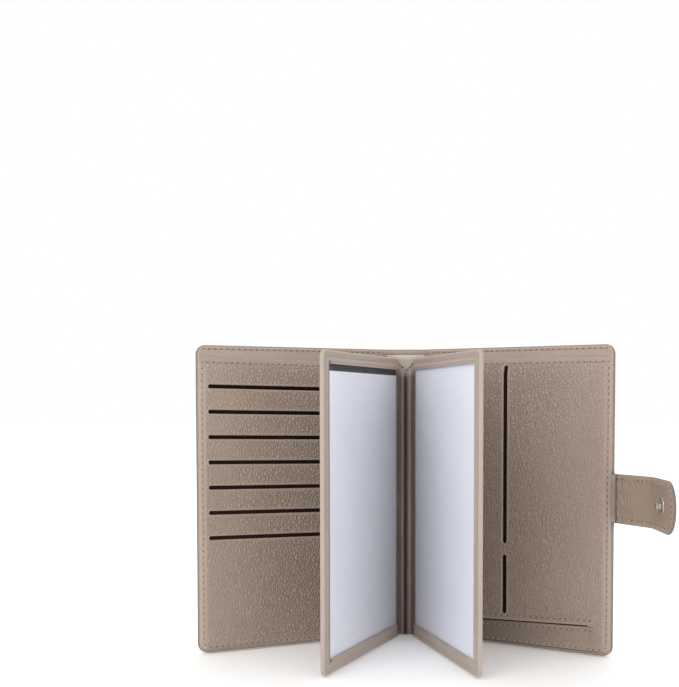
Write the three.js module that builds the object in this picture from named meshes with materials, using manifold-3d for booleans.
// A bifold travel document wallet, standing open on its lower edges, in millimetres with +Z up.
// The spine's inner side faces -Y, the card side is at -X and the document side at +X.
// The origin is the middle of the spine's foot, half way through the outer leather.
import * as THREE from 'three';
import { mergeVertices } from 'three/addons/utils/BufferGeometryUtils.js';
import Module from 'manifold-3d';

const wasm = await Module();
wasm.setup();

// Overall size and the standing pose
const wallet = {
  height: 145,
  coverWidth: 98.5, // hinge line to fore edge
  hingeHalf: 10.4, // spine middle to hinge line
  coverAngle: 28, // degrees from the plane of the spine
  leafAngle: 71.5,
  cornerRadius: 4.6,
};

// Thin sheets that make up the wallet, each thickness by itself
const sheet = {
  skin: 1.0,
  board: 0.8,
  facing: 0.6,
  fabric: 0.12,
  panel: 0.8,
  lining: 0.4,
  strap: 1.6,
};

const gap = {
  layer: 0.2, // between sheets that lie on each other
  fabric: 0.08, // between pocket fabrics
  hinge: 0.3, // round a hinge knuckle
  fit: 0.3, // round a piece in a recess
};

const inset = {
  board: 3.0, // board edge to skin edge
  facing: 0.7, // facing edge to skin edge
  panelSide: 0.9, // pocket panel edge to skin edge
  panelFoot: 1.5,
  panelTop: 5.6, // bare facing left above the pocket panel
  hinge: 4.2, // inner sheets stay this far from the hinge line
};

const cardSlot = {
  count: 7,
  pitch: 11.83,
  firstHeight: 125.7, // top slot above the floor
  fromHinge: 6.6, // slot's inner end to the hinge line
  edge: 4.7, // slot's outer end to skin edge
  droop: 1.35, // inner end below the outer end
  opening: 1.7,
  pocketDepth: 54,
  pocketMargin: 1.2, // fabric beyond each slot end
  pocketRise: 2.5, // fabric above its slot
};

const longSlit = {
  fromHinge: 45.3,
  opening: 1.9,
  upperTop: 136,
  upperFoot: 50.3,
  lowerTop: 44.7,
  lowerFoot: 17.4,
};

const footSlit = {
  height: 14.0,
  opening: 1.0,
  fromHinge: 9,
  edge: 10.5, // slit end to skin edge
  droop: 2.6, // inner end below the outer end
};

const pouch = {
  thickness: 0.3,
  past: 4, // pouch beyond the slit it serves
};

const leaf = {
  width: 93,
  foot: 0.4,
  topDrop: 4.6, // leaf top below the cover top
  frame: 0.5,
  film: 0.2,
  card: 0.3,
  back: 0.6,
  borderOuter: 6.3,
  borderTop: 5.8,
  borderFoot: 6.3,
  borderInner: 1.0,
  cornerRadius: 3,
  filmLap: 2.5, // film and card behind the border
  cardDrop: 2.9, // left card's top below its window's top
  cardShy: 0.7, // left card's side short of the window's side
};

const binding = {
  halfWidth: 8.6,
  thickness: 0.8,
  hem: 2.6, // bare turned hem of the spine above the lining
  topDrop: 0.3, // edges of its top below the lining's top
  dip: 1.8, // how far the middle dips below the edges
  foot: 0.8,
};

const strap = {
  width: 22.8,
  middle: 73.9, // height of its middle
  tab: 36,
  anchor: 16, // part sewn in behind the skin
  bend: 32, // degrees from the cover at rest
  tabBend: 27,
  tipRadius: 10.9,
};

const snap = {
  fromTip: 17.5, // snap middle to strap tip
  socketRadius: 5.2,
  socketFloor: 0.5, // metal under the socket's bore
  play: 1.0, // round the stud, so that it can swing into the bore
  plateRadius: 3.9,
  plateHeight: 0.6,
  studRadius: 1.8,
  studHeight: 2.2,
  washerRadius: 4.8,
  washerHeight: 0.4,
};

const round = { knuckle: 20, disc: 32, corner: 6 };

const rad = THREE.MathUtils.degToRad;

const leather = () => new THREE.MeshStandardMaterial({ color: 0xb0a292, roughness: 0.62, metalness: 0 });
const smoothLeather = () => new THREE.MeshStandardMaterial({ color: 0xafa59a, roughness: 0.5, metalness: 0 });
const darkCloth = () => new THREE.MeshStandardMaterial({ color: 0x3a2e26, roughness: 0.9, metalness: 0 });
const creamCloth = () => new THREE.MeshStandardMaterial({ color: 0xe6dfd0, roughness: 0.9, metalness: 0 });
const greyBoard = () => new THREE.MeshStandardMaterial({ color: 0x8c867c, roughness: 0.95, metalness: 0 });
const clearFilm = () => new THREE.MeshStandardMaterial({ color: 0xe4e9f2, roughness: 0.15, metalness: 0 });
const whiteCard = () => new THREE.MeshStandardMaterial({ color: 0xe9ebf1, roughness: 0.7, metalness: 0 });
const nickel = () => new THREE.MeshStandardMaterial({ color: 0xc3c1bc, roughness: 0.3, metalness: 1 });

// Solids: three.js makes each shape, and booleans only join or cut them
function toSolid(geometry) {
  const bare = geometry.index ? geometry.toNonIndexed() : geometry.clone();
  bare.deleteAttribute('normal');
  bare.deleteAttribute('uv');
  const merged = mergeVertices(bare, 1e-4);
  return new wasm.Manifold(new wasm.Mesh({
    numProp: 3,
    vertProperties: Float32Array.from(merged.attributes.position.array),
    triVerts: Uint32Array.from(merged.index.array),
  }));
}

function toGeometry(solid) {
  const mesh = solid.getMesh();
  const geometry = new THREE.BufferGeometry();
  geometry.setAttribute('position', new THREE.BufferAttribute(Float32Array.from(mesh.vertProperties), 3));
  geometry.setIndex(new THREE.BufferAttribute(Uint32Array.from(mesh.triVerts), 1));
  geometry.computeVertexNormals();
  return geometry;
}

// Outline in width u and height z, with its two far corners rounded
function outline(side, near, far, low, high, radius = 0) {
  const shape = new THREE.Shape();
  shape.moveTo(side * near, low);
  if (radius > 0) {
    const turn = side > 0;
    const bend = (z, start, end) => {
      const from = turn ? start : Math.PI - start;
      const to = turn ? end : Math.PI - end;
      shape.absarc(side * (far - radius), z, radius, from, to, !turn);
    };
    shape.lineTo(side * (far - radius), low);
    bend(low + radius, -Math.PI / 2, 0);
    bend(high - radius, 0, Math.PI / 2);
  } else {
    shape.lineTo(side * far, low);
    shape.lineTo(side * far, high);
  }
  shape.lineTo(side * near, high);
  shape.closePath();
  return shape;
}

// Upright plate: the outline stands in XZ and the plate reaches from yBack towards -Y
function plate(shape, thickness, yBack) {
  const geometry = new THREE.ExtrudeGeometry(shape, {
    depth: thickness,
    bevelEnabled: false,
    curveSegments: round.corner,
  });
  geometry.rotateX(Math.PI / 2);
  geometry.translate(0, yBack, 0);
  return toSolid(geometry);
}

function block(side, near, far, low, high, yFront, yBack) {
  return plate(outline(side, near, far, low, high), yBack - yFront, yBack);
}

// Round-ended slit cut right through a plate
function slit(fromX, fromZ, toX, toZ, opening, yFront, yBack) {
  const shape = new THREE.Shape();
  const angle = Math.atan2(toZ - fromZ, toX - fromX);
  const radius = opening / 2;
  const inward = { x: Math.cos(angle) * radius, z: Math.sin(angle) * radius };
  shape.absarc(toX - inward.x, toZ - inward.z, radius, angle - Math.PI / 2, angle + Math.PI / 2, false);
  shape.absarc(fromX + inward.x, fromZ + inward.z, radius, angle + Math.PI / 2, angle + Math.PI * 1.5, false);
  shape.closePath();
  return plate(shape, yBack - yFront, yBack);
}

function knuckle(radius, low, high) {
  const geometry = new THREE.CylinderGeometry(radius, radius, high - low, round.knuckle);
  geometry.rotateX(Math.PI / 2);
  geometry.translate(0, 0, (low + high) / 2);
  return toSolid(geometry);
}

// Disc with its axis along Y, from yFront to yBack
function disc(radius, x, z, yFront, yBack) {
  const geometry = new THREE.CylinderGeometry(radius, radius, yBack - yFront, round.disc);
  geometry.translate(x, (yFront + yBack) / 2, z);
  return toSolid(geometry);
}

function named(name, solid, material) {
  const mesh = new THREE.Mesh(toGeometry(solid), material);
  mesh.name = name;
  return mesh;
}

// Layer faces of a cover, outside to inside, as y in the cover's own frame
function coverLayers() {
  const skinBack = sheet.skin / 2;
  const skinFront = -sheet.skin / 2;
  const boardBack = skinFront - gap.layer;
  const boardFront = boardBack - sheet.board;
  const facingBack = boardFront - gap.layer;
  const facingFront = facingBack - sheet.facing;
  const pocketBack = facingFront - gap.layer;
  const pocketFront = pocketBack - cardSlot.count * (sheet.fabric + gap.fabric);
  const panelBack = pocketFront;
  const panelFront = panelBack - sheet.panel;
  return { skinBack, boardBack, boardFront, facingBack, pocketBack, panelBack, panelFront };
}

const layers = coverLayers();
const half = sheet.skin / 2;

// Cover skin: a plate whose hinge edge is a round knuckle
function coverSkin(side) {
  const shape = outline(side, 0, wallet.coverWidth, 0, wallet.height, wallet.cornerRadius);
  return plate(shape, sheet.skin, layers.skinBack).add(knuckle(half, 0, wallet.height));
}

function coverBoard(side) {
  const shape = outline(side, inset.hinge, wallet.coverWidth - inset.board,
    inset.board, wallet.height - inset.board, wallet.cornerRadius - gap.fit);
  return plate(shape, sheet.board, layers.boardBack);
}

function coverFacing(side) {
  const shape = outline(side, inset.hinge, wallet.coverWidth - inset.facing,
    inset.facing, wallet.height - inset.facing, wallet.cornerRadius - inset.facing);
  return plate(shape, sheet.facing, layers.facingBack);
}

function pocketPanel(side) {
  const shape = outline(side, inset.hinge, wallet.coverWidth - inset.panelSide,
    inset.panelFoot, wallet.height - inset.panelTop, wallet.cornerRadius - inset.panelSide);
  return plate(shape, sheet.panel, layers.panelBack);
}

const cut = { front: layers.panelFront - 1, back: layers.panelBack + 0.1 };
const slotFar = wallet.coverWidth - cardSlot.edge;
const slotNear = cardSlot.fromHinge;

// Height of a slot's outer end
function slotHeight(index) {
  return cardSlot.firstHeight - index * cardSlot.pitch;
}

function cardPanel() {
  let solid = pocketPanel(-1);
  for (let i = 0; i < cardSlot.count; i += 1) {
    const z = slotHeight(i);
    solid = solid.subtract(slit(-slotFar, z, -slotNear, z - cardSlot.droop, cardSlot.opening,
      cut.front, cut.back));
  }
  return solid;
}

function cardPocket(index) {
  const top = slotHeight(index) + cardSlot.pocketRise;
  const foot = Math.max(top - cardSlot.pocketDepth, inset.panelFoot + gap.fit);
  const yBack = layers.pocketBack - index * (sheet.fabric + gap.fabric);
  return block(-1, slotNear - cardSlot.pocketMargin, slotFar + cardSlot.pocketMargin, foot, top,
    yBack - sheet.fabric, yBack);
}

function documentPanel() {
  const x = longSlit.fromHinge;
  const footEnd = wallet.coverWidth - footSlit.edge;
  return pocketPanel(1)
    .subtract(slit(x, longSlit.upperFoot, x, longSlit.upperTop, longSlit.opening, cut.front, cut.back))
    .subtract(slit(x, longSlit.lowerFoot, x, longSlit.lowerTop, longSlit.opening, cut.front, cut.back))
    .subtract(slit(footSlit.fromHinge, footSlit.height - footSlit.droop, footEnd, footSlit.height,
      footSlit.opening, cut.front, cut.back));
}

// Pouch behind the long slits, and a shallow one behind the foot slit
function longPouch() {
  const yBack = layers.pocketBack;
  return block(1, inset.hinge + gap.fit, longSlit.fromHinge + pouch.past,
    longSlit.lowerFoot - pouch.past, wallet.height - inset.panelTop - pouch.past / 2,
    yBack - pouch.thickness, yBack);
}

function footPouch() {
  const yBack = layers.pocketBack - pouch.thickness - gap.layer;
  return block(1, footSlit.fromHinge - pouch.past, wallet.coverWidth - footSlit.edge + pouch.past,
    inset.panelFoot + gap.fit, footSlit.height + pouch.past, yBack - pouch.thickness, yBack);
}

// Spine strips between the two hinge lines
const spineHalf = wallet.hingeHalf - half - gap.hinge;
const liningTop = wallet.height - binding.hem;
const spineLayers = {
  boardBack: -half - gap.layer,
  liningBack: -half - gap.layer * 2 - sheet.board,
};
spineLayers.bindingBack = spineLayers.liningBack - sheet.lining - gap.layer;
spineLayers.bindingFront = spineLayers.bindingBack - binding.thickness;

function spinePlate(halfWidth, low, high, thickness, yBack) {
  const shape = outline(1, -halfWidth, halfWidth, low, high);
  return plate(shape, thickness, yBack);
}

// Binding strip that carries both leaves, its top edge dipping to the middle
function insertBinding() {
  const w = binding.halfWidth;
  const top = liningTop - binding.topDrop;
  const shape = new THREE.Shape();
  shape.moveTo(-w, binding.foot);
  shape.lineTo(w, binding.foot);
  shape.lineTo(w, top);
  shape.quadraticCurveTo(w * 0.35, top - binding.dip * 0.3, 0, top - binding.dip);
  shape.quadraticCurveTo(-w * 0.35, top - binding.dip * 0.3, -w, top);
  shape.closePath();
  return plate(shape, binding.thickness, spineLayers.bindingBack);
}

// Leaf layers, back to window side, in the leaf's own frame
const leafThickness = leaf.back + leaf.card + leaf.film + leaf.frame + gap.layer * 3;
const leafLayers = { backBack: leafThickness / 2 };
leafLayers.cardBack = leafLayers.backBack - leaf.back - gap.layer;
leafLayers.filmBack = leafLayers.cardBack - leaf.card - gap.layer;
leafLayers.frameBack = leafLayers.filmBack - leaf.film - gap.layer;
const leafTop = wallet.height - leaf.topDrop;
const leafStart = leafThickness / 2 + gap.hinge;
// Closed, the leaf's back lies against the cover's pocket panel
const leafHingeX = wallet.hingeHalf + layers.panelFront - gap.fit - leafThickness / 2;
const leafWindow = {
  near: leafStart + leaf.borderInner,
  far: leaf.width - leaf.borderOuter,
  low: leaf.foot + leaf.borderFoot,
  high: leafTop - leaf.borderTop,
};

function leafBack(side) {
  const shape = outline(side, 0, leaf.width, leaf.foot, leafTop, leaf.cornerRadius);
  return plate(shape, leaf.back, leafLayers.backBack).add(knuckle(leafThickness / 2, leaf.foot, leafTop));
}

function leafFrame(side) {
  const shape = outline(side, leafStart, leaf.width, leaf.foot, leafTop, leaf.cornerRadius);
  const hole = block(side, leafWindow.near, leafWindow.far, leafWindow.low, leafWindow.high,
    leafLayers.frameBack - leaf.frame - 1, leafLayers.frameBack + 0.1);
  return plate(shape, leaf.frame, leafLayers.frameBack).subtract(hole);
}

function leafFilm(side) {
  return block(side, leafStart, leafWindow.far + leaf.filmLap,
    leafWindow.low - leaf.filmLap, leafWindow.high + leaf.filmLap,
    leafLayers.filmBack - leaf.film, leafLayers.filmBack);
}

function leafCard(side, topDrop, shy) {
  const far = shy > 0 ? leafWindow.far - shy : leafWindow.far + leaf.filmLap;
  const high = topDrop > 0 ? leafWindow.high - topDrop : leafWindow.high + leaf.filmLap;
  return block(side, leafStart, far, leafWindow.low - leaf.filmLap, high,
    leafLayers.cardBack - leaf.card, leafLayers.cardBack);
}

function makeLeaf(side, name) {
  const group = new THREE.Group();
  const hingeY = spineLayers.bindingFront - gap.hinge - leafThickness / 2;
  group.position.set(side * leafHingeX, hingeY, 0);
  group.rotation.z = -side * rad(wallet.leafAngle);
  const isLeft = side < 0;
  group.add(
    named(`${name}_leaf_back`, leafBack(side), smoothLeather()),
    named(`${name}_insert_card`, leafCard(side, isLeft ? leaf.cardDrop : 0, isLeft ? leaf.cardShy : 0), whiteCard()),
    named(`${name}_window_film`, leafFilm(side), clearFilm()),
    named(`${name}_leaf_frame`, leafFrame(side), smoothLeather()),
  );
  return group;
}

// Snap socket on the front cover's outside, where the closed tab brings the stud
const strapLow = strap.middle - strap.width / 2;
const strapHigh = strap.middle + strap.width / 2;
const strapHinge = wallet.coverWidth + sheet.strap / 2 + gap.hinge;
const strapRootY = layers.boardBack - sheet.board / 2;
const snapFromHinge = strapHinge - (strap.tab - snap.fromTip);
// Closed, the stud's plate stays clear of the socket, and the stud's end clear of the bore's floor
const boreDepth = snap.studHeight;
const socketHeight = boreDepth + snap.socketFloor;
// Closed, the wrap crosses both covers and the snap between cover and tab
const wrapLength = wallet.hingeHalf + strapRootY + wallet.hingeHalf + layers.skinBack
  + gap.layer + socketHeight + gap.fit + snap.plateHeight + gap.layer + sheet.strap / 2;

function snapSocket() {
  const yFront = layers.skinBack + gap.layer;
  const body = disc(snap.socketRadius, -snapFromHinge, strap.middle, yFront, yFront + socketHeight);
  const bore = disc(snap.studRadius + snap.play, -snapFromHinge, strap.middle,
    yFront + snap.socketFloor, yFront + socketHeight + 1);
  return body.subtract(bore);
}

function snapWasher() {
  return disc(snap.washerRadius, -snapFromHinge, strap.middle,
    layers.boardBack - snap.washerHeight, layers.boardBack);
}

function makeFrontCover() {
  const group = new THREE.Group();
  group.position.set(-wallet.hingeHalf, 0, 0);
  group.rotation.z = rad(wallet.coverAngle);
  const recess = disc(snap.washerRadius + gap.fit, -snapFromHinge, strap.middle,
    layers.boardFront - 1, layers.boardBack + 0.1);
  group.add(
    named('outer_cover_front', coverSkin(-1), leather()),
    named('front_board', coverBoard(-1).subtract(recess), greyBoard()),
    named('snap_socket_washer', snapWasher(), nickel()),
    named('snap_socket', snapSocket(), nickel()),
    named('front_facing', coverFacing(-1), smoothLeather()),
  );
  for (let i = 0; i < cardSlot.count; i += 1) {
    group.add(named(`card_pocket_${i + 1}`, cardPocket(i), darkCloth()));
  }
  group.add(named('card_panel', cardPanel(), leather()));
  return group;
}

// Strap end that is sewn in between the skin and the board of the back cover
function strapAnchor() {
  const start = wallet.coverWidth - strap.anchor;
  return block(1, start, wallet.coverWidth - inset.facing, strapLow, strapHigh,
    layers.boardBack - sheet.board, layers.boardBack);
}

function makeBackCover() {
  const group = new THREE.Group();
  group.position.set(wallet.hingeHalf, 0, 0);
  group.rotation.z = -rad(wallet.coverAngle);
  const recess = block(1, wallet.coverWidth - strap.anchor - gap.fit, wallet.coverWidth,
    strapLow - gap.fit, strapHigh + gap.fit, layers.boardFront - 1, layers.boardBack + 0.1);
  group.add(
    named('outer_cover_back', coverSkin(1), leather()),
    named('back_board', coverBoard(1).subtract(recess), greyBoard()),
    named('strap_anchor', strapAnchor(), smoothLeather()),
    named('back_facing', coverFacing(1), smoothLeather()),
    named('long_pocket_lining', longPouch(), darkCloth()),
    named('slip_pocket_lining', footPouch(), darkCloth()),
    named('document_panel', documentPanel(), leather()),
    makeStrap(),
  );
  return group;
}

// Strap: the wrap turns on the cover's fore edge, and the tab turns on the wrap
function makeStrap() {
  const radius = sheet.strap / 2;
  const wrapEnd = wrapLength - radius - gap.hinge;
  const wrap = plate(outline(1, 0, wrapEnd, strapLow, strapHigh), sheet.strap, radius)
    .add(knuckle(radius, strapLow, strapHigh));
  const tab = plate(outline(1, 0, strap.tab, strapLow, strapHigh, strap.tipRadius), sheet.strap, radius)
    .add(knuckle(radius, strapLow, strapHigh));
  const snapAt = strap.tab - snap.fromTip;
  const plateBack = -radius - gap.layer;
  const plateFront = plateBack - snap.plateHeight;
  const stud = disc(snap.plateRadius, snapAt, strap.middle, plateFront, plateBack)
    .add(disc(snap.studRadius, snapAt, strap.middle, plateFront - snap.studHeight, plateBack - snap.plateHeight / 2));
  const wrapGroup = new THREE.Group();
  wrapGroup.position.set(strapHinge, strapRootY, 0);
  wrapGroup.rotation.z = -rad(strap.bend);
  const tabGroup = new THREE.Group();
  tabGroup.position.set(wrapLength, 0, 0);
  tabGroup.rotation.z = -rad(strap.tabBend);
  tabGroup.add(
    named('strap_tab', tab, smoothLeather()),
    named('snap_stud', stud, nickel()),
  );
  wrapGroup.add(named('strap_wrap', wrap, smoothLeather()), tabGroup);
  return wrapGroup;
}

function makeSpine() {
  const group = new THREE.Group();
  const boardHalf = spineHalf - inset.board / 2;
  group.add(
    named('outer_cover_spine', spinePlate(spineHalf, 0, wallet.height, sheet.skin, half), leather()),
    named('spine_board', spinePlate(boardHalf, inset.board, wallet.height - inset.board,
      sheet.board, spineLayers.boardBack), greyBoard()),
    named('spine_lining', spinePlate(spineHalf - gap.fit, inset.facing, liningTop,
      sheet.lining, spineLayers.liningBack), creamCloth()),
    named('insert_binding', insertBinding(), smoothLeather()),
  );
  return group;
}

const walletGroup = new THREE.Group();
walletGroup.add(makeSpine(), makeFrontCover(), makeBackCover(), makeLeaf(-1, 'left'), makeLeaf(1, 'right'));

export default walletGroup;
